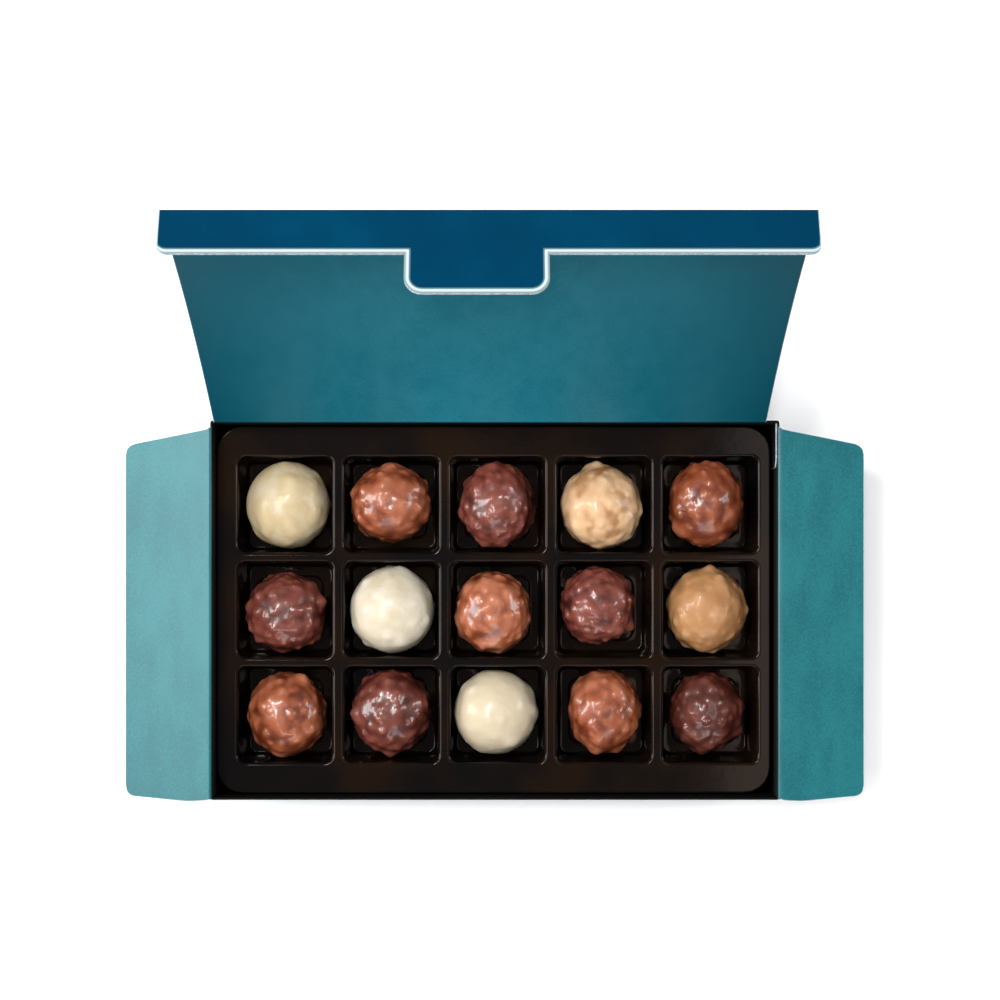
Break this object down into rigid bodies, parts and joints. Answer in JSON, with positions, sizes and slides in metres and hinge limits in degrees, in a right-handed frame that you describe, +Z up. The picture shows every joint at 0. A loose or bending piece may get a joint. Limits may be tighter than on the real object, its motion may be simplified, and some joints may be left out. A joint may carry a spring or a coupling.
{
  "type": "box of chocolate pralines",
  "caption": "Open folding carton with a hinged lid, tuck flap and side flaps, holding round chocolate pralines in a moulded tray.",
  "frame": {"origin": "centre of the carton's underside, on the surface it stands on", "axes": "+Z up, +X to the right along the carton's long side, +Y towards the back, where the lid is creased"},
  "size_m": [0.2522, 0.182, 0.1664],
  "materials": {
    "carton_board": "satin",
    "tray_plastic": "gloss",
    "white_chocolate": "satin",
    "milk_chocolate": "satin",
    "dark_chocolate": "satin",
    "caramel_chocolate": "satin"
  },
  "bodies": {
    "box": {"carton_base": "carton_board", "tray": "tray_plastic", "praline_1_1_white": "white_chocolate", "praline_1_2_milk": "milk_chocolate", "praline_1_3_dark": "dark_chocolate", "praline_1_4_caramel": "caramel_chocolate", "praline_1_5_milk": "milk_chocolate", "praline_2_1_dark": "dark_chocolate", "praline_2_2_white": "white_chocolate", "praline_2_3_milk": "milk_chocolate", "praline_2_4_dark": "dark_chocolate", "praline_2_5_caramel": "caramel_chocolate", "praline_3_1_milk": "milk_chocolate", "praline_3_2_dark": "dark_chocolate", "praline_3_3_white": "white_chocolate", "praline_3_4_milk": "milk_chocolate", "praline_3_5_dark": "dark_chocolate"},
    "lid": {"lid_panel": "carton_board"},
    "tuck": {"tuck_flap": "carton_board"},
    "left_side": {"left_flap": "carton_board"},
    "right_side": {"right_flap": "carton_board"}
  },
  "joints": [
    {"name": "lid_crease", "type": "hinge", "parent": "box", "child": "lid", "pos_m": [-0.00165, 0.0641, 0.0358], "axis": [1, 0, 0], "range_deg": [-66.35, 113.65]},
    {"name": "tuck_fold", "type": "hinge", "parent": "lid", "child": "tuck", "pos_m": [-0.00165, 0.11633, 0.15506], "axis": [1, 0, 0], "range_deg": [-90, 0]},
    {"name": "left_crease", "type": "hinge", "parent": "box", "child": "left_side", "pos_m": [-0.0965, 0, 0.0347], "axis": [0, 1, 0], "range_deg": [-12, 188]},
    {"name": "right_crease", "type": "hinge", "parent": "box", "child": "right_side", "pos_m": [0.0965, 0, 0.0347], "axis": [0, -1, 0], "range_deg": [-12, 188]}
  ]
}
